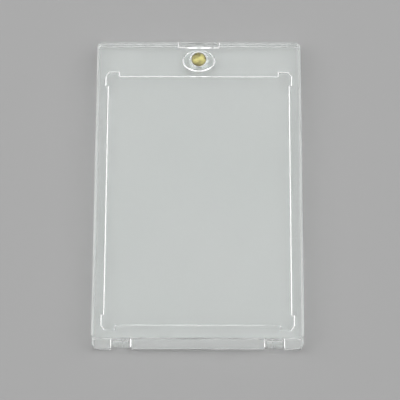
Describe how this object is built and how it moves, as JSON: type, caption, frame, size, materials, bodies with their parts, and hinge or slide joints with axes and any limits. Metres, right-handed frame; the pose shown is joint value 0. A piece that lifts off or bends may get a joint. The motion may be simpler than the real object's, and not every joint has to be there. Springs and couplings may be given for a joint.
{
  "type": "trading card display case",
  "caption": "Clear rigid slab case for a trading card, hinged along one end by snap hooks and held shut by gold-coloured disc magnets under oval caps.",
  "frame": {"origin": "centre of the closed case's outline, on the plane of its back face", "axes": "+X across the case, +Y along it from the hinge rail to the magnets, +Z through its thickness from the back face to the lid"},
  "size_m": [0.072, 0.1094, 0.008],
  "materials": {
    "clear_acrylic": "polished clear moulded plastic",
    "gold_plating": "bright plated metal"
  },
  "bodies": {
    "base": {"base_shell": "clear_acrylic", "base_magnet": "gold_plating", "base_magnet_cap": "clear_acrylic"},
    "lid": {"lid_shell": "clear_acrylic", "lid_magnet": "gold_plating", "lid_magnet_cap": "clear_acrylic"}
  },
  "joints": [
    {"name": "lid_hinge", "type": "hinge", "parent": "base", "child": "lid", "pos_m": [0, -0.05285, 0.00198], "axis": [1, 0, 0], "range_deg": [0, 120]}
  ]
}
